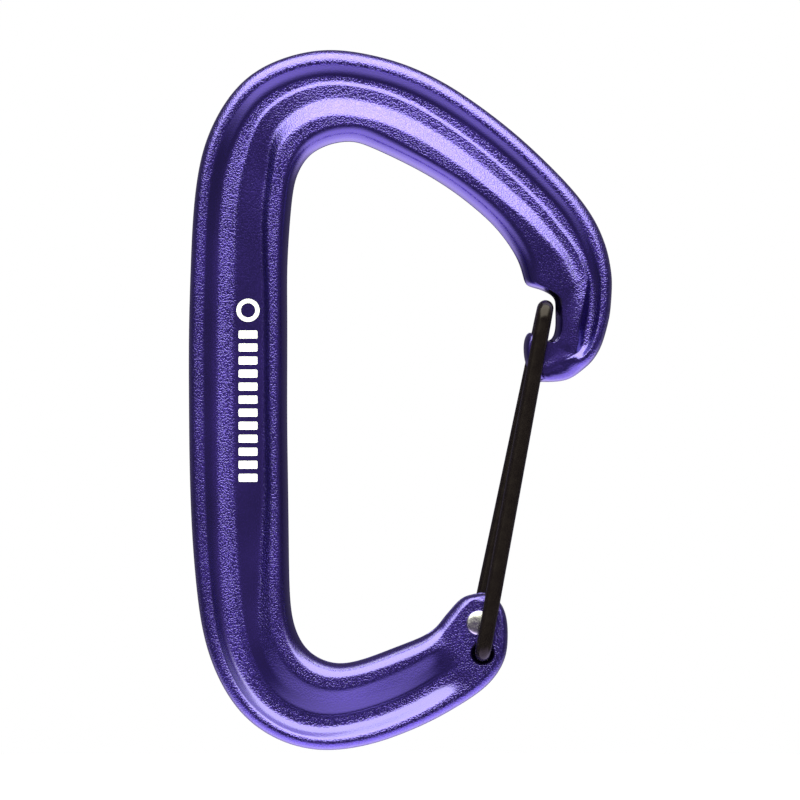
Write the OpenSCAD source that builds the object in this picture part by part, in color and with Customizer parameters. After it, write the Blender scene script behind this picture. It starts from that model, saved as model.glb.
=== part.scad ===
// Wire-gate carabiner: a forged aluminium D frame with a hooked nose, and a sprung
// gate bent from one steel wire whose two ends turn in two offset holes.
// +Z points up along the load line and Y is the thickness. The origin is where a
// rope or sling bears inside the top bend.

/* [Gate wire] */
// Diameter of the gate wire
wire_d = 2.2; // [1.8:0.1:2.4]
// Distance of each gate leg's centre line from the middle plane
leg_y = 4.1; // [4:0.1:4.6]
// Centre-line radius of the bends at the foot and the tip of each leg
bend_r = 1.6; // [1.4:0.1:2]
// Radial clearance of the wire in its hinge hole
hinge_gap = 0.1; // [0.05:0.01:0.1]

/* [Gate hinge] */
// Diameter of the open mouth of each hinge hole
mouth_d = 3.3; // [2.8:0.1:3.4]
// Depth of that mouth
mouth_depth = 0.5; // [0.3:0.1:0.8]
// Diameter of the peened head on each end of the wire
head_d = 3.5; // [3:0.1:3.8]
// Height of the peened head
head_h = 0.7; // [0.5:0.1:0.8]

/* [Frame] */
// Half thickness of the flat gate end that carries the hinge holes
lobe_half = 2.0; // [1.8:0.1:2.1]
// Half height of the flat parting line left along both edges
parting_half = 0.5; // [0.3:0.1:0.8]
// Cross sections made between two neighbouring stations
sections_per_station = 2; // [1:1:3]

/* [Hidden] */
$fn = 48;

// Places in the outline are measured from the middle of the carabiner's height and width.
basket = [-7.4, 35.7];
front_hinge = [11.4, -35.0];
rear_hinge = [10.9, -30.8];
gate_tip = [20.1, 12.7];
// Gap under each peened head, which lets it turn on the frame.
head_gap = 0.05;

// Stations along the frame, from the hook's end round the nose, over the top, down the
// spine and along the bottom to the gate end: [outer x, outer z, inner x, inner z].
STATIONS = [
    // hook and its lip
    [19.4, 2.5, 18.2, 3.4], [21.0, 2.5, 17.4, 5.0], [22.7, 2.7, 17.1, 7.2],
    [24.1, 3.3, 17.4, 8.8], [25.3, 4.2, 18.1, 9.3],
    // notch that catches the gate's tip, with the nose outside it
    [26.4, 5.2, 19.2, 8.6], [27.4, 6.6, 20.4, 8.2], [28.1, 8.2, 21.2, 8.9],
    [28.6, 9.9, 21.5, 10.4], [29.0, 11.7, 21.5, 12.4], [29.2, 13.5, 21.3, 14.0],
    [29.3, 15.2, 20.2, 14.9], [29.3, 16.8, 18.9, 15.4],
    // beak and top arm
    [29.1, 18.5, 17.6, 15.9], [28.6, 20.8, 17.0, 17.2], [27.5, 23.7, 16.1, 19.7],
    [25.8, 26.6, 14.0, 22.9], [23.4, 29.6, 11.3, 25.7], [20.2, 32.9, 7.4, 28.8],
    [16.3, 36.5, 3.1, 31.5], [11.5, 40.3, -1.0, 33.6], [6.2, 43.8, -4.1, 35.0],
    // top bend
    [0.9, 46.3, -6.4, 35.7], [-4.4, 47.8, -8.6, 35.6], [-10.2, 48.4, -10.6, 35.0],
    [-16.0, 47.3, -12.6, 33.7], [-20.8, 44.8, -14.0, 31.6], [-24.3, 40.9, -14.7, 29.3],
    [-26.8, 35.8, -15.1, 26.1], [-28.1, 30.2, -15.4, 22.2],
    // spine
    [-28.7, 24.0, -15.6, 17.6], [-29.0, 17.0, -15.6, 12.0], [-29.2, 9.0, -15.6, 5.0],
    [-29.2, 0.0, -15.6, -3.0], [-29.1, -9.0, -15.5, -11.0], [-28.8, -17.6, -15.4, -18.6],
    // bottom bend
    [-28.2, -25.4, -15.3, -25.0], [-27.2, -32.2, -14.9, -29.9], [-25.2, -38.2, -13.7, -33.3],
    [-21.7, -43.5, -11.7, -35.4], [-16.7, -47.0, -8.8, -36.4], [-10.9, -48.4, -5.6, -36.0],
    // bottom arm
    [-4.9, -47.8, -2.4, -34.9], [0.2, -46.2, 0.7, -33.7], [4.9, -44.1, 3.1, -32.7],
    [9.2, -41.6, 4.9, -31.5],
    // gate end
    [12.4, -39.1, 6.0, -30.2], [14.4, -36.0, 7.0, -29.0], [14.9, -33.0, 8.0, -27.9],
    [14.8, -30.6, 9.0, -27.2], [14.2, -28.6, 10.0, -26.9], [13.0, -27.0, 11.2, -26.6]];

// Cross sections of one face, each [station, distances, half thicknesses]. The distances
// run from the outer edge: rail crest, rail edge, channel bottom, channel end, step, web,
// foot of the inner rail and its crest, and last the inner rail's rounding from the inner
// edge. The half thicknesses are at the first eight of them.
SECTIONS = [
    // hook
    [0, [1.8, 2.0, 2.2, 2.5, 2.7, 2.9, 3.2, 3.8, 0.9], [2.4, 2.4, 2.4, 2.4, 2.4, 2.4, 2.4, 2.3]],
    [3, [2.2, 2.4, 2.6, 2.8, 2.9, 3.0, 3.2, 4.2, 1.0], [2.4, 2.4, 2.4, 2.4, 2.4, 2.4, 2.4, 2.3]],
    // nose, with the blind end of the channel
    [4.6, [1.4, 1.6, 1.8, 2.3, 2.6, 2.7, 3.4, 4.6, 1.0], [2.6, 2.6, 2.6, 2.6, 2.5, 2.5, 2.4, 2.3]],
    [6.4, [1.1, 1.3, 1.6, 2.5, 3.2, 3.3, 4.3, 5.6, 1.0], [2.6, 2.6, 1.7, 1.6, 2.5, 2.5, 2.5, 2.3]],
    [8, [1.1, 1.4, 2.0, 2.9, 3.9, 4.0, 5.0, 6.3, 1.0], [2.6, 2.5, 1.6, 1.5, 2.4, 2.5, 2.5, 2.3]],
    [12, [1.3, 1.6, 2.4, 3.0, 3.5, 3.6, 4.6, 5.6, 1.2], [2.6, 2.5, 1.6, 1.6, 2.1, 2.1, 2.1, 2.4]],
    // top arm
    [14, [1.6, 1.9, 2.8, 3.4, 4.0, 4.1, 5.1, 6.1, 2.0], [2.6, 2.5, 1.7, 1.7, 2.1, 2.0, 1.9, 2.5]],
    [16, [1.8, 2.1, 3.1, 4.5, 5.1, 5.2, 6.4, 8.0, 2.4], [2.6, 2.5, 1.9, 1.9, 2.1, 2.1, 2.1, 2.9]],
    [19, [1.9, 2.2, 3.4, 5.1, 5.6, 5.7, 7.5, 9.6, 2.6], [2.6, 2.5, 1.9, 1.9, 2.1, 2.1, 2.2, 3.4]],
    // top bend
    [23, [1.9, 2.1, 3.3, 4.3, 4.8, 4.9, 6.8, 8.9, 2.5], [2.6, 2.5, 1.9, 1.9, 2.1, 2.1, 2.2, 3.4]],
    [26, [1.8, 2.1, 3.5, 5.0, 5.5, 5.6, 8.4, 10.2, 2.1], [2.6, 2.5, 1.6, 1.6, 1.8, 1.8, 1.9, 3.2]],
    // spine
    [28, [1.5, 2.1, 3.8, 5.8, 6.6, 6.7, 10.6, 11.5, 1.8], [2.5, 2.4, 1.3, 1.4, 1.6, 1.5, 1.5, 3.0]],
    [31, [1.5, 2.1, 3.8, 5.6, 6.4, 6.5, 10.9, 11.6, 1.5], [2.5, 2.4, 1.3, 1.4, 1.6, 1.5, 1.5, 2.9]],
    [34, [1.5, 2.1, 3.6, 5.4, 6.1, 6.2, 10.5, 11.4, 1.5], [2.5, 2.4, 1.3, 1.4, 1.6, 1.5, 1.5, 2.9]],
    // bottom bend
    [36, [1.4, 2.0, 3.2, 5.2, 5.9, 6.0, 8.8, 10.3, 1.6], [2.5, 2.4, 1.3, 1.4, 1.6, 1.5, 1.6, 3.0]],
    [38, [1.3, 1.8, 2.9, 4.9, 5.5, 5.6, 7.1, 9.2, 2.0], [2.5, 2.4, 1.2, 1.3, 1.5, 1.5, 1.9, 3.0]],
    [40, [1.3, 1.7, 2.9, 4.8, 5.2, 5.3, 7.0, 9.2, 2.4], [2.5, 2.4, 1.2, 1.3, 1.4, 1.4, 2.1, 3.0]],
    // bottom arm, flattening into the gate end
    [42, [1.4, 1.9, 3.5, 5.2, 5.5, 5.6, 7.3, 9.4, 2.4], [2.5, 2.4, 1.2, 1.3, 1.4, 1.4, 2.1, 2.9]],
    [44, [1.4, 2.0, 3.5, 5.0, 5.4, 5.5, 7.0, 8.8, 2.0], [2.5, 2.4, 1.4, 1.4, 1.5, 1.5, 2.0, 2.7]],
    [45.4, [1.4, 2.0, 3.6, 4.8, 5.2, 5.3, 7.0, 8.0, 1.5], lobe_half * [1, 1, 1, 1, 1, 1, 1, 1]],
    [51, [1.0, 1.4, 2.0, 2.6, 3.0, 3.4, 3.8, 4.2, 1.0], lobe_half * [1, 1, 1, 1, 1, 1, 1, 1]]];

last_station = len(STATIONS) - 1;
end_round = 1.2;
outer_power = 2.4;
inner_power = 1.7;
end_stations = 4;
rounding_steps = [0, 0.3];

// A smooth cubic through the points P. Its control points start at the points themselves
// and are relaxed until the curve meets every one of them.
function padded(P) = let (n = len(P)) concat([2 * P[0] - P[1]], P, [2 * P[n - 1] - P[n - 2]]);
function relaxed(P, C, rounds) = rounds == 0 ? C
    : let (Q = padded(C))
      relaxed(P, [for (i = [0 : len(P) - 1]) C[i] + P[i] - (Q[i] + 4 * Q[i + 1] + Q[i + 2]) / 6],
              rounds - 1);
CONTROLS = padded(relaxed(STATIONS, STATIONS, 14));
function edges_at(t) =
    let (i = min(floor(t), last_station - 1), f = t - i)
    (pow(1 - f, 3) * CONTROLS[i] + (3 * pow(f, 3) - 6 * f * f + 4) * CONTROLS[i + 1]
     + (-3 * pow(f, 3) + 3 * f * f + 3 * f + 1) * CONTROLS[i + 2]
     + pow(f, 3) * CONTROLS[min(i + 3, last_station + 2)]) / 6;

// A value of the SECTIONS table at station t, blended without overshoot.
function slope(a, b) = a * b <= 0 ? 0 : 2 * a * b / (a + b);
function table_slope(column, k, row) =
    (SECTIONS[row + 1][column][k] - SECTIONS[row][column][k]) / (SECTIONS[row + 1][0] - SECTIONS[row][0]);
function row_slope(column, k, row) = row == 0 || row == len(SECTIONS) - 1 ? 0
    : slope(table_slope(column, k, row - 1), table_slope(column, k, row));
function row_of(t) = max([for (i = [0 : len(SECTIONS) - 2]) if (SECTIONS[i][0] <= t) i]);
function section_value(column, k, t) =
    let (i = row_of(t), a = SECTIONS[i], b = SECTIONS[i + 1], span = b[0] - a[0], f = (t - a[0]) / span)
    (1 + 2 * f) * pow(1 - f, 2) * a[column][k] + f * pow(1 - f, 2) * span * row_slope(column, k, i)
    + f * f * (3 - 2 * f) * b[column][k] + f * f * (f - 1) * span * row_slope(column, k, i + 1);

// Share of the full thickness that is left at distance d from a rounded edge of radius r.
// The edge is elliptical at power 2, squarer above it and nearer to a chamfer below it.
function rounded(d, r, power) = pow(1 - pow(1 - min(max(d / r, 0), 1), power), 1 / power);
function line_distance(p, a, b) = let (e = (b - a) / norm(b - a), v = p - a) abs(cross(e, v));
function cut_distance(p, t) = let (e = edges_at(t)) line_distance(p, [e[0], e[1]], [e[2], e[3]]);
function end_distance(p, t) = t < end_stations ? cut_distance(p, 0)
    : t > last_station - end_stations ? cut_distance(p, last_station) : end_round;

// Points across one face at station t: [x, z, half thickness] from the outer to the inner edge.
function across(t) =
    let (e = edges_at(t), o = [e[0], e[1]], n = [e[2], e[3]], w = norm(n - o),
         r_out = min(section_value(1, 0, t), 0.35 * w),
         r_in = min(section_value(1, 8, t), 0.35 * w),
         lo = r_out, hi = w - r_in,
         mid = [for (k = [1 : 7])
                lo + (hi - lo) * max(k * 0.02, min(1 - (9 - k) * 0.02, (section_value(1, k, t) - lo) / (hi - lo)))],
         d = concat([for (s = rounding_steps) r_out * s], [lo], mid, [hi],
                    [for (k = [len(rounding_steps) - 1 : -1 : 0]) w - r_in * rounding_steps[k]]),
         h = concat([for (k = [0 : len(rounding_steps)]) section_value(2, 0, t)],
                    [for (k = [1 : 7]) section_value(2, k, t)],
                    [for (k = [0 : len(rounding_steps)]) section_value(2, 7, t)]))
    [for (j = [0 : len(d) - 1])
        let (p = o + (n - o) * d[j] / w,
             share = rounded(d[j], r_out, outer_power) * rounded(w - d[j], r_in, inner_power)
                     * rounded(end_distance(p, t), end_round, 2))
        [p[0], p[1], max(h[j] * share, parting_half)]];

module in_frame() {
    translate([-basket[0], 0, -basket[1]]) children();
}

module forging() {
    steps = concat([0, 0.2, 0.4, 0.7],
                   [for (i = [sections_per_station : last_station * sections_per_station - 2])
                       i / sections_per_station],
                   [last_station - 0.7, last_station - 0.4, last_station - 0.2, last_station]);
    rings = [for (t = steps) let (a = across(t), n = len(a))
        concat([for (p = a) [p[0], -p[2], p[1]]], [for (j = [n - 1 : -1 : 0]) [a[j][0], a[j][2], a[j][1]]])];
    n = len(rings[0]);
    count = len(rings);
    sides = [for (i = [0 : count - 2]) for (j = [0 : n - 1])
        [i * n + j, i * n + (j + 1) % n, (i + 1) * n + (j + 1) % n, (i + 1) * n + j]];
    caps = [for (j = [0 : n / 2 - 2]) each
        [[n - 1 - j, n - 2 - j, j + 1, j],
         [for (k = [j, j + 1, n - 2 - j, n - 1 - j]) (count - 1) * n + k]]];
    polyhedron([for (r = rings) for (p = r) p], concat(sides, caps), convexity = 10);
}

// A hinge hole with an open mouth on the side that its leg enters (side -1 front, 1 rear).
module hinge_hole(place, side) {
    bore_r = wire_d / 2 + hinge_gap;
    translate([place[0], 0, place[1]]) {
        rotate([90, 0, 0]) cylinder(h = 12, r = bore_r, center = true);
        translate([0, side * (lobe_half - mouth_depth), 0]) rotate([-90 * side, 0, 0])
            cylinder(h = mouth_depth + 0.01, r1 = bore_r, r2 = mouth_d / 2);
    }
}

module frame() {
    color([0.29, 0.22, 0.55]) in_frame() difference() {
        forging();
        hinge_hole(front_hinge, -1);
        hinge_hole(rear_hinge, 1);
    }
}

// A quarter bend of the wire in the Y-Z plane about the point (y, z), from angle start to
// start + 90 counted from +Y towards +Z.
module wire_bend(y, z, start) {
    translate([0, y, z]) rotate([90, 0, 90]) rotate([0, 0, start])
        rotate_extrude(angle = 90) translate([bend_r, 0]) circle(wire_d / 2);
}

// A straight run of the wire along +Y at height z.
module wire_along_y(y_from, y_to, z) {
    translate([0, y_from, z]) rotate([-90, 0, 0]) cylinder(h = y_to - y_from, d = wire_d);
}

// One leg drawn upright on its hinge axis: the foot runs along Y through the hole, the leg
// rises outside the frame, and its tip turns back to the middle plane. side is -1 or 1.
module leg(length, side) {
    bend_y = bend_r - leg_y;
    mirror([0, side > 0 ? 1 : 0, 0]) {
        wire_along_y(bend_y, lobe_half + head_gap, 0);
        wire_bend(bend_y, bend_r, 180);
        translate([0, -leg_y, bend_r]) cylinder(h = length - 2 * bend_r, d = wire_d);
        wire_bend(bend_y, length - bend_r, 90);
        wire_along_y(bend_y, 0, length);
    }
}

module placed_leg(hinge, side) {
    reach = gate_tip - hinge;
    color([0.1, 0.09, 0.08]) in_frame() translate([hinge[0], 0, hinge[1]])
        rotate([0, atan2(reach[0], reach[1]), 0]) leg(norm(reach), side);
}

module gate_front_leg() {
    placed_leg(front_hinge, -1);
}

module gate_rear_leg() {
    placed_leg(rear_hinge, 1);
}

// The domed head peened on the end of the wire, on the face away from its leg.
module head(hinge, side) {
    dome_h = 0.45;
    dome_r = (pow(head_d / 2, 2) + pow(dome_h, 2)) / (2 * dome_h);
    color([0.75, 0.74, 0.72]) in_frame()
        translate([hinge[0], -side * (lobe_half + head_gap), hinge[1]]) rotate([90 * side, 0, 0]) intersection() {
            cylinder(h = head_h, d = head_d);
            translate([0, 0, head_h - dome_r]) sphere(dome_r);
        }
}

module gate_front_leg_head() {
    head(front_hinge, -1);
}

module gate_rear_leg_head() {
    head(rear_hinge, 1);
}

frame();
gate_front_leg();
gate_rear_leg();
gate_front_leg_head();
gate_rear_leg_head();
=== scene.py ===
"""Looks of the wire-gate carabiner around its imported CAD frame.

The forged frame is made again at a finer step from the same outline and section table as
the CAD part, with its corners filleted. The gate wire, its peened heads and the printed
mark follow. Sizes are in millimetres until a mesh is made, and then in metres.
"""

import math

import bmesh
import bpy
import numpy as np
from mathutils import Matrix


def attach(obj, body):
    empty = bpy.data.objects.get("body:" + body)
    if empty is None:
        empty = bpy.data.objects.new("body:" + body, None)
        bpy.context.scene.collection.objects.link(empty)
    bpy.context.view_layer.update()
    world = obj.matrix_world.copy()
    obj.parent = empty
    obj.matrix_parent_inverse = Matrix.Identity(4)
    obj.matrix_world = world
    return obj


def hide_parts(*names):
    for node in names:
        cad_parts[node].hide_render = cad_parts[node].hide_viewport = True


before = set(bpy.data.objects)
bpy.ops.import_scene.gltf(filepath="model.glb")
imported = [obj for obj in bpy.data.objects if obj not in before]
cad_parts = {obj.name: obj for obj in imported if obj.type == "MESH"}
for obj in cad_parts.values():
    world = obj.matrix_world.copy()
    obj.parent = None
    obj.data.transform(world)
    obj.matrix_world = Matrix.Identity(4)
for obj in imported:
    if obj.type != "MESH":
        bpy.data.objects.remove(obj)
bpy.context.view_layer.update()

MM = 0.001

# The part's own sizes and places, as in the CAD source.
WIRE_D = 2.2
LEG_Y = 4.1
BEND_R = 1.6
HINGE_GAP = 0.1
MOUTH_D = 3.3
MOUTH_DEPTH = 0.5
HEAD_D = 3.5
HEAD_H = 0.7
HEAD_GAP = 0.05
LOBE_HALF = 2.0
PARTING_HALF = 0.5
END_ROUND = 1.2
OUTER_POWER = 2.4
INNER_POWER = 1.7
END_STATIONS = 4
BASKET = np.array([-7.4, 35.7])
FRONT_HINGE = np.array([11.4, -35.0])
REAR_HINGE = np.array([10.9, -30.8])
GATE_TIP = np.array([20.1, 12.7])

# Stations from the hook round to the gate end: outer x, outer z, inner x, inner z.
STATIONS = np.array([
    # hook and its lip
    [19.4, 2.5, 18.2, 3.4], [21.0, 2.5, 17.4, 5.0], [22.7, 2.7, 17.1, 7.2],
    [24.1, 3.3, 17.4, 8.8], [25.3, 4.2, 18.1, 9.3],
    # notch and nose
    [26.4, 5.2, 19.2, 8.6], [27.4, 6.6, 20.4, 8.2], [28.1, 8.2, 21.2, 8.9],
    [28.6, 9.9, 21.5, 10.4], [29.0, 11.7, 21.5, 12.4], [29.2, 13.5, 21.3, 14.0],
    [29.3, 15.2, 20.2, 14.9], [29.3, 16.8, 18.9, 15.4],
    # beak and top arm
    [29.1, 18.5, 17.6, 15.9], [28.6, 20.8, 17.0, 17.2], [27.5, 23.7, 16.1, 19.7],
    [25.8, 26.6, 14.0, 22.9], [23.4, 29.6, 11.3, 25.7], [20.2, 32.9, 7.4, 28.8],
    [16.3, 36.5, 3.1, 31.5], [11.5, 40.3, -1.0, 33.6], [6.2, 43.8, -4.1, 35.0],
    # top bend
    [0.9, 46.3, -6.4, 35.7], [-4.4, 47.8, -8.6, 35.6], [-10.2, 48.4, -10.6, 35.0],
    [-16.0, 47.3, -12.6, 33.7], [-20.8, 44.8, -14.0, 31.6], [-24.3, 40.9, -14.7, 29.3],
    [-26.8, 35.8, -15.1, 26.1], [-28.1, 30.2, -15.4, 22.2],
    # spine
    [-28.7, 24.0, -15.6, 17.6], [-29.0, 17.0, -15.6, 12.0], [-29.2, 9.0, -15.6, 5.0],
    [-29.2, 0.0, -15.6, -3.0], [-29.1, -9.0, -15.5, -11.0], [-28.8, -17.6, -15.4, -18.6],
    # bottom bend
    [-28.2, -25.4, -15.3, -25.0], [-27.2, -32.2, -14.9, -29.9],
    [-25.2, -38.2, -13.7, -33.3], [-21.7, -43.5, -11.7, -35.4],
    [-16.7, -47.0, -8.8, -36.4], [-10.9, -48.4, -5.6, -36.0],
    # bottom arm
    [-4.9, -47.8, -2.4, -34.9], [0.2, -46.2, 0.7, -33.7], [4.9, -44.1, 3.1, -32.7],
    [9.2, -41.6, 4.9, -31.5],
    # gate end
    [12.4, -39.1, 6.0, -30.2], [14.4, -36.0, 7.0, -29.0], [14.9, -33.0, 8.0, -27.9],
    [14.8, -30.6, 9.0, -27.2], [14.2, -28.6, 10.0, -26.9], [13.0, -27.0, 11.2, -26.6]])

# Cross sections of one face: station, then the distances from the outer edge of the rail
# crest, rail edge, channel bottom, channel end, step, web, foot and crest of the inner
# rail, then the inner rounding, then the half thickness at the first eight of those.
SECTIONS = np.array([
    # hook
    [0, 1.8, 2.0, 2.2, 2.5, 2.7, 2.9, 3.2, 3.8, 0.9, 2.4, 2.4, 2.4, 2.4, 2.4, 2.4, 2.4, 2.3],
    [3, 2.2, 2.4, 2.6, 2.8, 2.9, 3.0, 3.2, 4.2, 1.0, 2.4, 2.4, 2.4, 2.4, 2.4, 2.4, 2.4, 2.3],
    # nose, with the blind end of the channel
    [4.6, 1.4, 1.6, 1.8, 2.3, 2.6, 2.7, 3.4, 4.6, 1.0, 2.6, 2.6, 2.6, 2.6, 2.5, 2.5, 2.4, 2.3],
    [6.4, 1.1, 1.3, 1.6, 2.5, 3.2, 3.3, 4.3, 5.6, 1.0, 2.6, 2.6, 1.7, 1.6, 2.5, 2.5, 2.5, 2.3],
    [8, 1.1, 1.4, 2.0, 2.9, 3.9, 4.0, 5.0, 6.3, 1.0, 2.6, 2.5, 1.6, 1.5, 2.4, 2.5, 2.5, 2.3],
    [12, 1.3, 1.6, 2.4, 3.0, 3.5, 3.6, 4.6, 5.6, 1.2, 2.6, 2.5, 1.6, 1.6, 2.1, 2.1, 2.1, 2.4],
    # top arm
    [14, 1.6, 1.9, 2.8, 3.4, 4.0, 4.1, 5.1, 6.1, 2.0, 2.6, 2.5, 1.7, 1.7, 2.1, 2.0, 1.9, 2.5],
    [16, 1.8, 2.1, 3.1, 4.5, 5.1, 5.2, 6.4, 8.0, 2.4, 2.6, 2.5, 1.9, 1.9, 2.1, 2.1, 2.1, 2.9],
    [19, 1.9, 2.2, 3.4, 5.1, 5.6, 5.7, 7.5, 9.6, 2.6, 2.6, 2.5, 1.9, 1.9, 2.1, 2.1, 2.2, 3.4],
    # top bend
    [23, 1.9, 2.1, 3.3, 4.3, 4.8, 4.9, 6.8, 8.9, 2.5, 2.6, 2.5, 1.9, 1.9, 2.1, 2.1, 2.2, 3.4],
    [26, 1.8, 2.1, 3.5, 5.0, 5.5, 5.6, 8.4, 10.2, 2.1, 2.6, 2.5, 1.6, 1.6, 1.8, 1.8, 1.9, 3.2],
    # spine
    [28, 1.5, 2.1, 3.8, 5.8, 6.6, 6.7, 10.6, 11.5, 1.8, 2.5, 2.4, 1.3, 1.4, 1.6, 1.5, 1.5, 3.0],
    [31, 1.5, 2.1, 3.8, 5.6, 6.4, 6.5, 10.9, 11.6, 1.5, 2.5, 2.4, 1.3, 1.4, 1.6, 1.5, 1.5, 2.9],
    [34, 1.5, 2.1, 3.6, 5.4, 6.1, 6.2, 10.5, 11.4, 1.5, 2.5, 2.4, 1.3, 1.4, 1.6, 1.5, 1.5, 2.9],
    # bottom bend
    [36, 1.4, 2.0, 3.2, 5.2, 5.9, 6.0, 8.8, 10.3, 1.6, 2.5, 2.4, 1.3, 1.4, 1.6, 1.5, 1.6, 3.0],
    [38, 1.3, 1.8, 2.9, 4.9, 5.5, 5.6, 7.1, 9.2, 2.0, 2.5, 2.4, 1.2, 1.3, 1.5, 1.5, 1.9, 3.0],
    [40, 1.3, 1.7, 2.9, 4.8, 5.2, 5.3, 7.0, 9.2, 2.4, 2.5, 2.4, 1.2, 1.3, 1.4, 1.4, 2.1, 3.0],
    # bottom arm, flattening into the gate end
    [42, 1.4, 1.9, 3.5, 5.2, 5.5, 5.6, 7.3, 9.4, 2.4, 2.5, 2.4, 1.2, 1.3, 1.4, 1.4, 2.1, 2.9],
    [44, 1.4, 2.0, 3.5, 5.0, 5.4, 5.5, 7.0, 8.8, 2.0, 2.5, 2.4, 1.4, 1.4, 1.5, 1.5, 2.0, 2.7],
    [45.4, 1.4, 2.0, 3.6, 4.8, 5.2, 5.3, 7.0, 8.0, 1.5, 2.0, 2.0, 2.0, 2.0, 2.0, 2.0, 2.0, 2.0],
    [51, 1.0, 1.4, 2.0, 2.6, 3.0, 3.4, 3.8, 4.2, 1.0, 2.0, 2.0, 2.0, 2.0, 2.0, 2.0, 2.0, 2.0]])

# The printed mark: its middle line, the half thickness of the web under it, how far the ink
# stands above the web and reaches into it, the ring, and the bars with their cut corners.
MARK_X = -21.0
WEB_HALF = 1.5
INK = 0.02
RING_Z = 12.4
RING_RADII = (1.0, 1.6)
BAR_COUNT = 12
BAR_TOP = 9.6
BAR_PITCH = 1.8
BAR_WIDTH, BAR_HEIGHT = 2.6, 1.1
BAR_CORNER = (0.1, 0.12)

# Half width of the fillet at each of the eight corners of a section, where there is room.
FILLETS = [0.2, 0.06, 0.7, 0.15, 0.1, 0.1, 0.4, 0.4]
# Most of a section's width that one rounded edge takes, and least part of what is left
# between them from one corner to the next.
WIDEST_EDGE, LEAST_GAP = 0.35, 0.02
# Points between neighbouring corners, and round each edge.
SEGMENT_POINTS = [3, 8, 6, 5, 2, 9, 9, 8]
EDGE_POINTS = 11

# The corners where the grain changes from one part of a section to the next, and how far
# past each corner. The change is spread over GRAIN_BLEND to either side.
GRAIN_EDGES = [(1, 0), (2, 0.3), (3, 0), (5, 0), (6, 0), (7, 0), (8, 0)]
GRAIN_BLEND = 0.2
# How grainy the blasted skin is, from 0 to 1, which also sets how much lighter its colour
# is painted, a painted glint of the grain: station, then rail crest, channel wall,
# channel floor, step, web, outward slope of the inner rail, its crest, inner wall.
GRAIN = np.array([
    [0, 0.2, 0.2, 0.2, 0.2, 0.2, 0.2, 0.2, 0.1],
    [5, 0.5, 0.3, 0.7, 0.3, 0.3, 0.2, 0.2, 0.1],
    [8, 0.6, 0.5, 0.9, 0.2, 0.4, 0.2, 0.2, 0.1],
    [13, 0.8, 0.2, 0.9, 0.8, 0.8, 0.7, 0.4, 0.1],
    [22, 0.8, 0.1, 0.9, 0.7, 0.8, 0.8, 0.8, 0.1],
    [28, 0.7, 0.1, 0.9, 0.8, 0.3, 0.8, 0.8, 0.2],
    [36, 0.6, 0.1, 0.9, 0.8, 0.1, 0.8, 0.7, 0.2],
    [39, 0.7, 0.1, 0.8, 0.4, 0.1, 0.2, 0.7, 0.2],
    [44, 0.7, 0.1, 0.8, 0.2, 0.1, 0.2, 0.6, 0.2],
    [46, 0.65, 0.65, 0.65, 0.65, 0.65, 0.65, 0.6, 0.3],
    [51, 0.65, 0.65, 0.65, 0.65, 0.65, 0.65, 0.6, 0.3]])


# ---------------------------------------------------------------- curves and sections

def padded(points):
    """The points with one more on each end, in line with the last two there."""
    return np.vstack([2 * points[0] - points[1], points, 2 * points[-1] - points[-2]])


def curve_controls(points, rounds=14):
    """Control points of the smooth cubic that passes through the points."""
    controls = points.copy()
    for _ in range(rounds):
        q = padded(controls)
        controls = controls + points - (q[:-2] + 4 * q[1:-1] + q[2:]) / 6
    return padded(controls)


CONTROLS = curve_controls(STATIONS)
LAST = len(STATIONS) - 1


def edges_at(t):
    """Outer and inner edge, as x, z, x, z, at each station number in t."""
    i = np.minimum(np.floor(t).astype(int), LAST - 1)
    f = (t - i)[:, None]
    return ((1 - f) ** 3 * CONTROLS[i] + (3 * f ** 3 - 6 * f * f + 4) * CONTROLS[i + 1]
            + (-3 * f ** 3 + 3 * f * f + 3 * f + 1) * CONTROLS[i + 2]
            + f ** 3 * CONTROLS[i + 3]) / 6


def table_at(table, t):
    """Rows of a table at stations t, blended smoothly and without overshoot."""
    x, y = table[:, 0], table[:, 1:]
    step = np.diff(y, axis=0) / np.diff(x)[:, None]
    a, b = step[:-1], step[1:]
    total = np.where(a * b > 0, a + b, 1)
    slope = np.zeros_like(y)
    slope[1:-1] = np.where(a * b > 0, 2 * a * b / total, 0)
    i = np.clip(np.searchsorted(x, t, side="right") - 1, 0, len(x) - 2)
    span = (x[i + 1] - x[i])[:, None]
    f = (t - x[i])[:, None] / span
    return ((1 + 2 * f) * (1 - f) ** 2 * y[i] + f * (1 - f) ** 2 * span * slope[i]
            + f * f * (3 - 2 * f) * y[i + 1] + f * f * (f - 1) * span * slope[i + 1])


def rounded(d, r, power):
    """Share of the full thickness left at distance d from a rounded edge of radius r. The
    edge is elliptical at power 2, squarer above it and nearer to a chamfer below it."""
    return (1 - (1 - np.clip(d / r, 0, 1)) ** power) ** (1 / power)


def ramp(u, c):
    """0 below zero and u above it, filleted over a half width c."""
    return np.where(u <= -c, 0, np.where(u >= c, u, (u + c) ** 2 / (4 * c)))


def soft_step(u, c):
    """0 below -c, 1 above c and a smooth rise between them."""
    f = np.clip(0.5 + u / (2 * c), 0, 1)
    return f * f * (3 - 2 * f)


def cut_distance(p, t):
    """Distance of the points p from the cut across the frame at station t."""
    e = edges_at(np.array([float(t)]))[0]
    a, along = e[:2], (e[2:] - e[:2]) / np.linalg.norm(e[2:] - e[:2])
    v = p - a
    return np.abs(v[..., 0] * along[1] - v[..., 1] * along[0])


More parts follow.
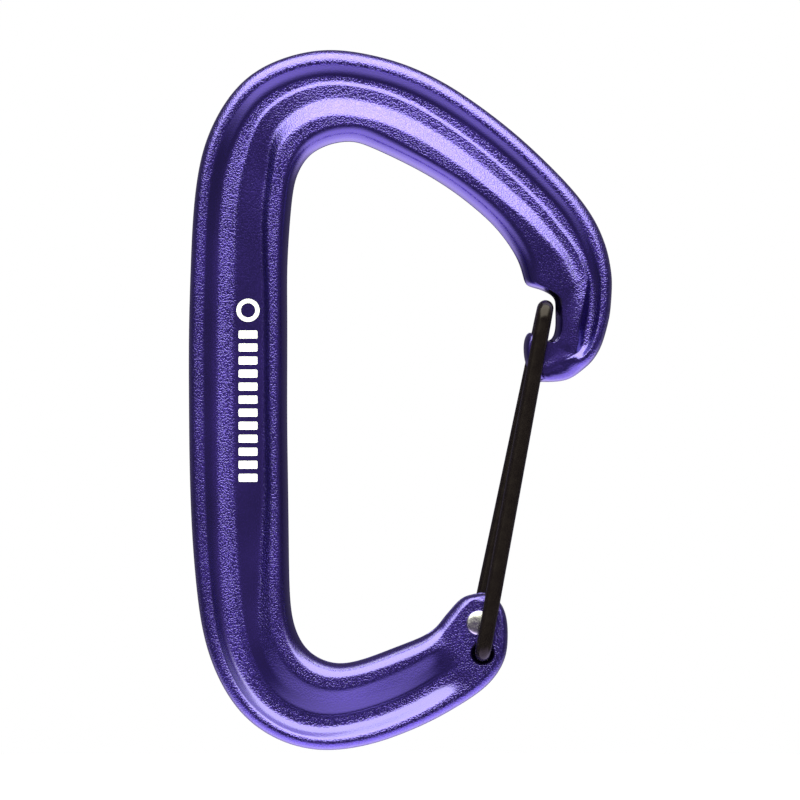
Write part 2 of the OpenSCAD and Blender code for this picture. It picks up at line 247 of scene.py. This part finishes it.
def face_grid(t):
    """One face of the frame at stations t: places in x and z, half thickness and grain."""
    edges = edges_at(t)
    outer, inner = edges[:, None, :2], edges[:, None, 2:]
    w = np.linalg.norm(inner - outer, axis=2)
    rows = table_at(SECTIONS, t)
    r_out = np.minimum(rows[:, 0:1], WIDEST_EDGE * w)
    r_in = np.minimum(rows[:, 8:9], WIDEST_EDGE * w)
    low, high = r_out, w - r_in
    k = np.arange(1, 8)
    share = np.clip((rows[:, 1:8] - low) / (high - low), k * LEAST_GAP, 1 - (9 - k) * LEAST_GAP)
    corners = np.hstack([low, low + (high - low) * share, high])
    heights = np.hstack([rows[:, 9:17], rows[:, 16:17]])

    turn = np.radians(np.linspace(0, 90, EDGE_POINTS))[None, :]
    spans = [r_out * (1 - np.cos(turn))]
    for j, n in enumerate(SEGMENT_POINTS):
        f = np.arange(1, n + 1)[None, :] / n
        spans.append(corners[:, j:j + 1] + (corners[:, j + 1:j + 2] - corners[:, j:j + 1]) * f)
    spans.append(w - r_in * (1 - np.cos(turn[:, -2::-1])))
    d = np.hstack(spans)

    slopes = np.diff(heights, axis=1) / np.diff(corners, axis=1)
    bends = np.diff(slopes, axis=1, prepend=0)
    fillets = np.minimum(FILLETS, 0.1 + 0.8 * np.diff(corners, axis=1, prepend=0)[:, :8])
    half = heights[:, :1] + sum(
        bends[:, j:j + 1] * ramp(d - corners[:, j:j + 1], fillets[:, j:j + 1]) for j in range(8))

    place = outer + (inner - outer) * (d / w)[..., None]
    end = np.full(d.shape, END_ROUND)
    for cut, near in ((0, t < END_STATIONS), (LAST, t > LAST - END_STATIONS)):
        end[near] = cut_distance(place[near], cut)
    half = half * rounded(d, r_out, OUTER_POWER) * rounded(w - d, r_in, INNER_POWER)
    half = half * rounded(end, END_ROUND, 2)
    half = np.maximum(half, PARTING_HALF)

    levels = table_at(GRAIN, t)
    changes = np.diff(levels, axis=1)
    grain = levels[:, :1] + sum(
        changes[:, k:k + 1] * soft_step(d - corners[:, j:j + 1] - shift, GRAIN_BLEND)
        for k, (j, shift) in enumerate(GRAIN_EDGES))
    return place, half, grain


# ---------------------------------------------------------------- meshes

def metres(points):
    """Outline millimetres, as x, y, z, to the row frame in metres."""
    return (np.asarray(points, float) - [BASKET[0], 0, BASKET[1]]) * MM


def new_object(name, vertices, faces):
    """A mesh object at the origin, with its place in its vertices."""
    mesh = bpy.data.meshes.new(name)
    mesh.from_pydata([tuple(v) for v in vertices], [], faces)
    mesh.update()
    obj = bpy.data.objects.new(name, mesh)
    bpy.context.scene.collection.objects.link(obj)
    return obj


def face_outwards(obj):
    """Turn every face of a closed mesh to the outside."""
    bm = bmesh.new()
    bm.from_mesh(obj.data)
    bmesh.ops.recalc_face_normals(bm, faces=bm.faces)
    bm.to_mesh(obj.data)
    bm.free()


def shade(obj, angle):
    """Smooth shading, with edges sharper than the angle left crisp."""
    for polygon in obj.data.polygons:
        polygon.use_smooth = True
    obj.data.set_sharp_from_angle(angle=math.radians(angle))


def lofted(name, rings, caps=None):
    """A closed tube through rings that all have the same number of points. One face closes
    each end, unless caps gives others."""
    count, n = len(rings), len(rings[0])
    faces = [(i * n + j, i * n + (j + 1) % n, (i + 1) * n + (j + 1) % n, (i + 1) * n + j)
             for i in range(count - 1) for j in range(n)]
    faces += caps or [range(n), range((count - 1) * n, count * n)]
    obj = new_object(name, np.vstack(rings), faces)
    face_outwards(obj)
    return obj


def hinge_cutter(hinge, side):
    """The hinge hole and its open mouth, as a solid to cut away. side is -1 or 1."""
    bore_r = WIRE_D / 2 + HINGE_GAP
    mouth_r = MOUTH_D / 2
    profile = [(-2 * LOBE_HALF, bore_r), (LOBE_HALF - MOUTH_DEPTH, bore_r), (LOBE_HALF, mouth_r),
               (2 * LOBE_HALF, mouth_r)]
    turn = np.linspace(0, 2 * math.pi, 64, endpoint=False)
    rings = [metres(np.stack([hinge[0] + r * np.cos(turn), np.full_like(turn, side * y),
                              hinge[1] + r * np.sin(turn)], axis=1)) for y, r in profile]
    return lofted("hinge_cutter", rings)


def cut_away(obj, cutter):
    """Cut one object out of another, and remove the cutter."""
    change = obj.modifiers.new("cut", "BOOLEAN")
    change.operation = "DIFFERENCE"
    change.solver = "EXACT"
    change.object = cutter
    graph = bpy.context.evaluated_depsgraph_get()
    result = bpy.data.meshes.new_from_object(obj.evaluated_get(graph))
    obj.modifiers.clear()
    obj.data = result
    bpy.data.objects.remove(cutter)


def forged_frame():
    """The whole frame: rings of both faces from the hook's end to the gate end, with the two
    hinge holes cut out. Each vertex carries the grain of its place."""
    t = np.unique(np.concatenate([
        np.linspace(0, 1, 25), np.arange(1, 13, 0.08), np.arange(13, 45, 0.1),
        np.arange(45, 50, 0.08), np.linspace(LAST - 1, LAST, 17)]))
    place, half, grain = face_grid(t)
    front = np.stack([place[..., 0], -half, place[..., 1]], axis=2)
    rear = np.stack([place[..., 0], half, place[..., 1]], axis=2)[:, ::-1]
    rings = metres(np.concatenate([front, rear], axis=1))
    count, n = rings.shape[:2]
    caps = [[first + i for i in (j, j + 1, n - 2 - j, n - 1 - j)]
            for first in (0, (count - 1) * n) for j in range(n // 2 - 1)]
    obj = lofted("forged_frame", rings, caps)
    skin = obj.data.attributes.new("grain", "FLOAT", "POINT")
    skin.data.foreach_set("value", np.concatenate([grain, grain[:, ::-1]], axis=1).ravel())
    for hinge, side in ((FRONT_HINGE, -1), (REAR_HINGE, 1)):
        cut_away(obj, hinge_cutter(hinge, side))
    shade(obj, 50)
    return obj


def arc(centre, start, end):
    """Points on a bend, in the plane of y and the leg's own length."""
    turn = np.radians(np.linspace(start, end, 15))
    return [(centre[0] + BEND_R * math.cos(a), centre[1] + BEND_R * math.sin(a)) for a in turn]


def gate_leg(name, hinge, side):
    """Half of the gate wire: foot, bend, leg, bend and half of the crossbar."""
    reach = GATE_TIP - hinge
    length = np.linalg.norm(reach)
    up = reach / length
    bend_y = BEND_R - LEG_Y
    path = [(LOBE_HALF + HEAD_GAP, 0), (0.5 * LOBE_HALF, 0), (0, 0)]
    path += arc((bend_y, BEND_R), -90, -180)
    path += [(-LEG_Y, s) for s in np.linspace(BEND_R, length - BEND_R, 22)[1:-1]]
    path += arc((bend_y, length - BEND_R), 180, 90)
    path += [(0, length)]
    path = np.array(path)
    points = np.stack([hinge[0] + path[:, 1] * up[0], -side * path[:, 0],
                       hinge[1] + path[:, 1] * up[1]], axis=1)
    across = np.array([up[1], 0, -up[0]])
    tangent = np.gradient(points, axis=0)
    tangent /= np.linalg.norm(tangent, axis=1)[:, None]
    turn = np.linspace(0, 2 * math.pi, 40, endpoint=False)[:, None]
    rings = [metres(p + WIRE_D / 2 * (np.cos(turn) * across + np.sin(turn) * np.cross(v, across)))
             for p, v in zip(points, tangent)]
    obj = lofted(name, rings)
    shade(obj, 60)
    return obj


def peened_head(name, hinge, side):
    """The end of the wire hammered over into a low dome, with a few soft facets."""
    radius = HEAD_D / 2
    rim_h = 0.34
    profile = [(radius - 0.12, 0), (radius, 0.08), (radius, 0.2), (radius - 0.08, rim_h)]
    profile += [(0.95 * radius * math.cos(a), rim_h + (HEAD_H - rim_h) * math.sin(a))
                for a in np.radians(np.linspace(15, 84, 12))]
    turn = np.linspace(0, 2 * math.pi, 48, endpoint=False)
    base_y = -side * (LOBE_HALF + HEAD_GAP)
    rings = []
    for r, h in profile:
        dent = 0.03 * np.sin(3 * turn + 1.3 * r) + 0.02 * np.sin(5 * turn - 2.1 * r)
        height = h + dent * (r / radius) * (h / HEAD_H)
        reach = r * (1 + 0.015 * np.sin(2 * turn + 0.6))
        rings.append(metres(np.stack([hinge[0] + reach * np.cos(turn),
                                      base_y - side * height,
                                      hinge[1] + reach * np.sin(turn)], axis=1)))
    obj = lofted(name, rings)
    shade(obj, 60)
    return obj


def printed_mark():
    """A plain ring above a row of equal bars, printed on the flat web of the front face."""
    vertices, faces = [], []

    def add_strip(loop_a, loop_b, closed):
        """A thin closed slab between two outlines of x and z with as many points each."""
        n, base = len(loop_a), len(vertices)
        for y in (INK - WEB_HALF, -INK - WEB_HALF):
            for loop in (loop_a, loop_b):
                vertices.extend(metres([(x, y, z) for x, z in loop]))
        steps = n if closed else n - 1
        for i in range(steps):
            j = (i + 1) % n
            inner_low, outer_low, inner_top, outer_top = (base + k * n for k in range(4))
            faces.append((inner_top + i, inner_top + j, outer_top + j, outer_top + i))
            faces.append((inner_low + i, outer_low + i, outer_low + j, inner_low + j))
            faces.append((inner_low + i, inner_low + j, inner_top + j, inner_top + i))
            faces.append((outer_low + i, outer_top + i, outer_top + j, outer_low + j))
        if not closed:
            for i in (0, n - 1):
                faces.append((base + i, base + n + i, base + 3 * n + i, base + 2 * n + i))

    turn = np.linspace(0, 2 * math.pi, 64, endpoint=False)
    inside, outside = [[(MARK_X + r * math.cos(a), RING_Z + r * math.sin(a)) for a in turn]
                       for r in RING_RADII]
    add_strip(inside, outside, True)
    half = BAR_WIDTH / 2
    cut_x, cut_z = BAR_CORNER
    corners = [(-half, cut_z), (cut_x - half, 0), (half - cut_x, 0), (half, cut_z)]
    for k in range(BAR_COUNT):
        top = BAR_TOP - BAR_PITCH * k
        add_strip([(MARK_X + x, top - BAR_HEIGHT + s) for x, s in corners],
                  [(MARK_X + x, top - s) for x, s in corners], False)
    obj = new_object("printed_mark", vertices, faces)
    face_outwards(obj)
    return obj


# ---------------------------------------------------------------- materials

class Nodes:
    """A short way to write the node tree of a material or a world."""

    def __init__(self, owner, coordinates="Object"):
        self.owner = owner
        owner.use_nodes = True
        self.tree = owner.node_tree
        self.shader = self.tree.nodes.get("Principled BSDF")
        self.place = self.add("ShaderNodeTexCoord").outputs[coordinates]

    def add(self, kind, **settings):
        node = self.tree.nodes.new(kind)
        for name, value in settings.items():
            setattr(node, name, value)
        return node

    def wire(self, source, socket):
        """Join another node's output to a socket, or set the socket to a number or colour."""
        if isinstance(source, bpy.types.NodeSocket):
            self.tree.links.new(source, socket)
        elif isinstance(source, tuple):
            socket.default_value = (*source, 1)
        else:
            socket.default_value = source

    def noise(self, scale, detail):
        node = self.add("ShaderNodeTexNoise")
        node.inputs["Scale"].default_value = scale
        node.inputs["Detail"].default_value = detail
        self.wire(self.place, node.inputs["Vector"])
        return node.outputs["Fac"]

    def math(self, operation, a, b):
        node = self.add("ShaderNodeMath", operation=operation)
        for socket, value in zip(node.inputs, (a, b)):
            self.wire(value, socket)
        return node.outputs[0]

    def spread(self, value, low, high, to_low, to_high, kind="LINEAR"):
        """A value between low and high, stretched to run from to_low to to_high."""
        node = self.add("ShaderNodeMapRange", interpolation_type=kind)
        for name, source in (("Value", value), ("From Min", low), ("From Max", high),
                             ("To Min", to_low), ("To Max", to_high)):
            self.wire(source, node.inputs[name])
        return node.outputs["Result"]

    def colours(self, value, dark, light):
        """A blend from the dark colour at 0 to the light one at 1."""
        node = self.add("ShaderNodeMix", data_type="RGBA")
        self.wire(value, node.inputs[0])
        self.wire(dark, node.inputs[6])
        self.wire(light, node.inputs[7])
        return node.outputs[2]

    def bump(self, height, strength, distance):
        node = self.add("ShaderNodeBump")
        node.inputs["Distance"].default_value = distance
        self.wire(strength, node.inputs["Strength"])
        self.wire(height, node.inputs["Height"])
        return node.outputs["Normal"]

    def set(self, **values):
        """Constants on the shader's own sockets, with _ for each space in a socket's name."""
        for name, value in values.items():
            self.shader.inputs[name.replace("_", " ")].default_value = value


def anodised_violet():
    """Dyed anodised aluminium: a fine blasted grain on the crests, satin in the recesses.

    The metal under the dye gives a broad violet sheen, and the clear oxide over it a paler,
    sharper one. The grain attribute of the mesh sets how deep the pits are. It also sets how
    much lighter the base colour is painted on the pits and on the grainy zones as a whole,
    which is a painted glint of the blasted grain on top of its real bumps.
    """
    n = Nodes(bpy.data.materials.new("anodised_violet"))
    n.set(Metallic=1.0, Coat_Weight=1.0, Coat_Roughness=0.12, Coat_IOR=1.75)
    grain = n.add("ShaderNodeAttribute", attribute_name="grain").outputs["Fac"]
    pits = n.spread(n.noise(4400, 1.0), 0.38, 0.66, 0, 1, "SMOOTHSTEP")
    cloudy = n.noise(90, 3.0)
    # Painted glint: the pits, and the grainy zones as a whole, are painted lighter in the base
    # colour, standing in for the light that the blasted grain catches.
    grain_and_painted_glint = n.math("MULTIPLY", n.spread(pits, 0, 1, 0.2, 0.9), grain)
    tone = n.math("ADD", grain_and_painted_glint, n.math("MULTIPLY", cloudy, 0.3))
    violet = n.colours(tone, (0.034, 0.016, 0.17), (0.110, 0.060, 0.52))
    n.wire(violet, n.shader.inputs["Base Color"])
    n.wire(n.spread(cloudy, 0.3, 0.7, 0.29, 0.35), n.shader.inputs["Roughness"])
    surface = n.bump(pits, n.spread(grain, 0, 1, 0.01, 1.0), 0.00003)
    n.wire(surface, n.shader.inputs["Normal"])
    n.wire(surface, n.shader.inputs["Coat Normal"])
    return n.owner


def black_coating():
    """Black coated spring wire: satin, with a faintly uneven film."""
    n = Nodes(bpy.data.materials.new("black_coating"))
    n.set(Specular_IOR_Level=0.25, Specular_Tint=(1.0, 0.86, 0.80, 1))
    film = n.noise(700, 3.0)
    black = n.colours(film, (0.003, 0.002, 0.002), (0.008, 0.006, 0.005))
    n.wire(black, n.shader.inputs["Base Color"])
    n.wire(n.spread(film, 0.3, 0.7, 0.18, 0.24), n.shader.inputs["Roughness"])
    n.wire(n.bump(n.noise(3000, 2.0), 0.12, 0.00005), n.shader.inputs["Normal"])
    return n.owner


def hammered_steel():
    """Bare stainless wire end, peened over."""
    n = Nodes(bpy.data.materials.new("hammered_steel"))
    n.set(Metallic=1.0)
    dents = n.noise(900, 1.0)
    scuffs = n.noise(4000, 2.0)
    steel = n.colours(dents, (0.60, 0.58, 0.55), (0.86, 0.84, 0.81))
    n.wire(steel, n.shader.inputs["Base Color"])
    n.wire(n.spread(scuffs, 0.3, 0.7, 0.18, 0.32), n.shader.inputs["Roughness"])
    n.wire(n.bump(dents, 0.35, 0.0001), n.shader.inputs["Normal"])
    return n.owner


def white_ink():
    """Pad-printed ink: matt white, a little thin in places."""
    n = Nodes(bpy.data.materials.new("white_ink"))
    thin = n.noise(3000, 2.0)
    white = n.colours(thin, (0.78, 0.78, 0.80), (0.93, 0.93, 0.94))
    n.wire(white, n.shader.inputs["Base Color"])
    n.wire(n.spread(thin, 0.3, 0.7, 0.45, 0.6), n.shader.inputs["Roughness"])
    return n.owner


def pale_floor():
    """Matt pale grey, with the faintest change of tone."""
    n = Nodes(bpy.data.materials.new("pale_floor"))
    n.set(Roughness=0.7)
    grey = n.colours(n.noise(30, 2.0), (0.80, 0.80, 0.80), (0.84, 0.84, 0.84))
    n.wire(grey, n.shader.inputs["Base Color"])
    return n.owner


# ---------------------------------------------------------------- the object

def add_piece(obj, body, material):
    """Give a piece its material and let it ride on a CAD body."""
    obj.data.materials.clear()
    obj.data.materials.append(material)
    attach(obj, body)
    return obj


def stand_in(obj, body, material, node):
    """Add a piece that is shown in place of a CAD node."""
    add_piece(obj, body, material)
    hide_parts(node)


stand_in(forged_frame(), "frame", anodised_violet(), "frame")
mark = add_piece(printed_mark(), "frame", white_ink())
mark.visible_glossy = False
black, bare = black_coating(), hammered_steel()
for end, hinge, side in (("front", FRONT_HINGE, -1), ("rear", REAR_HINGE, 1)):
    body, node = f"{end}_leg", f"gate_{end}_leg"
    stand_in(gate_leg(f"gate_wire_{end}", hinge, side), body, black, node)
    stand_in(peened_head(f"wire_head_{end}", hinge, side), body, bare, node + "_head")


# ---------------------------------------------------------------- floor, light and camera

# The floor's size and its depth below the part's middle, in metres.
FLOOR_RADIUS, FLOOR_DROP = 0.32, 0.062
# The camera's distance and the width that it sees there, in metres, and its sensor in
# millimetres.
CAMERA_DISTANCE, PICTURE_WIDTH = 1.2, 0.1107
SENSOR_WIDTH = 36
# Strengths and colours of the light that falls on the part.
SOFTBOX, REFLECTOR, ROOM = 5.0, 2.4, 0.15
SOFTBOX_COLOUR = (0.97, 1.0, 0.86)
REFLECTOR_COLOUR = (0.70, 0.60, 1.0)


def round_floor(x, z):
    """A flat disc below the part, which the part doesn't reflect."""
    around = np.linspace(0, 2 * math.pi, 96, endpoint=False)
    rim = [(x + FLOOR_RADIUS * math.cos(a), FLOOR_RADIUS * math.sin(a), z) for a in around]
    obj = new_object("floor", rim, [tuple(range(len(rim)))])
    obj.data.materials.append(pale_floor())
    obj.visible_glossy = False


def studio_world():
    """White to the camera. To the part, a dim room with a wide softbox above the camera and a
    weaker reflector below it, both of which fade out towards the sides."""
    n = Nodes(bpy.data.worlds.new("studio"), "Generated")
    parts = n.add("ShaderNodeSeparateXYZ")
    n.wire(n.place, parts.inputs[0])
    ahead = n.math("MULTIPLY", parts.outputs["Y"], -1)
    rise = n.math("MULTIPLY", n.math("ARCTAN2", parts.outputs["Z"], ahead), 180 / math.pi)
    sideways = n.math("ABSOLUTE", parts.outputs["X"], 0)
    narrow = n.spread(sideways, 0.6, 0.9, 1, 0, "SMOOTHSTEP")

    def band(start, end, soft, strength):
        """Light between two angles of rise, which is 0 level to the front and 90 overhead."""
        opening = n.spread(rise, start - soft, start + soft, 0, strength, "SMOOTHSTEP")
        closing = n.spread(rise, end - soft, end + soft, 1, 0, "SMOOTHSTEP")
        return n.math("MULTIPLY", n.math("MULTIPLY", opening, closing), narrow)

    softbox = band(22, 106, 9, SOFTBOX)
    reflector = band(-150, -48, 25, REFLECTOR)
    total = n.math("ADD", n.math("ADD", softbox, reflector), ROOM)
    to_camera = n.add("ShaderNodeLightPath").outputs["Is Camera Ray"]
    background = n.tree.nodes["Background"]
    n.wire(n.spread(to_camera, 0, 1, total, 1), background.inputs["Strength"])
    tint = n.colours(n.math("GREATER_THAN", softbox, 0), REFLECTOR_COLOUR, SOFTBOX_COLOUR)
    n.wire(n.colours(to_camera, tint, (1, 1, 1)), background.inputs["Color"])
    return n.owner


def front_camera(x, z):
    """A long lens square on to the front face."""
    lens = bpy.data.cameras.new("camera")
    lens.sensor_width = SENSOR_WIDTH
    lens.lens = SENSOR_WIDTH * CAMERA_DISTANCE / PICTURE_WIDTH
    lens.clip_start, lens.clip_end = 0.1, 10
    obj = bpy.data.objects.new("camera", lens)
    obj.location = (x, -CAMERA_DISTANCE, z)
    obj.rotation_euler = (math.radians(90), 0, 0)
    bpy.context.scene.collection.objects.link(obj)
    return obj


middle_x, _, middle_z = metres((0, 0, 0))
round_floor(middle_x, middle_z - FLOOR_DROP)
bpy.context.scene.world = studio_world()
bpy.context.scene.camera = front_camera(middle_x, middle_z)
bpy.context.scene.view_settings.view_transform = "Standard"
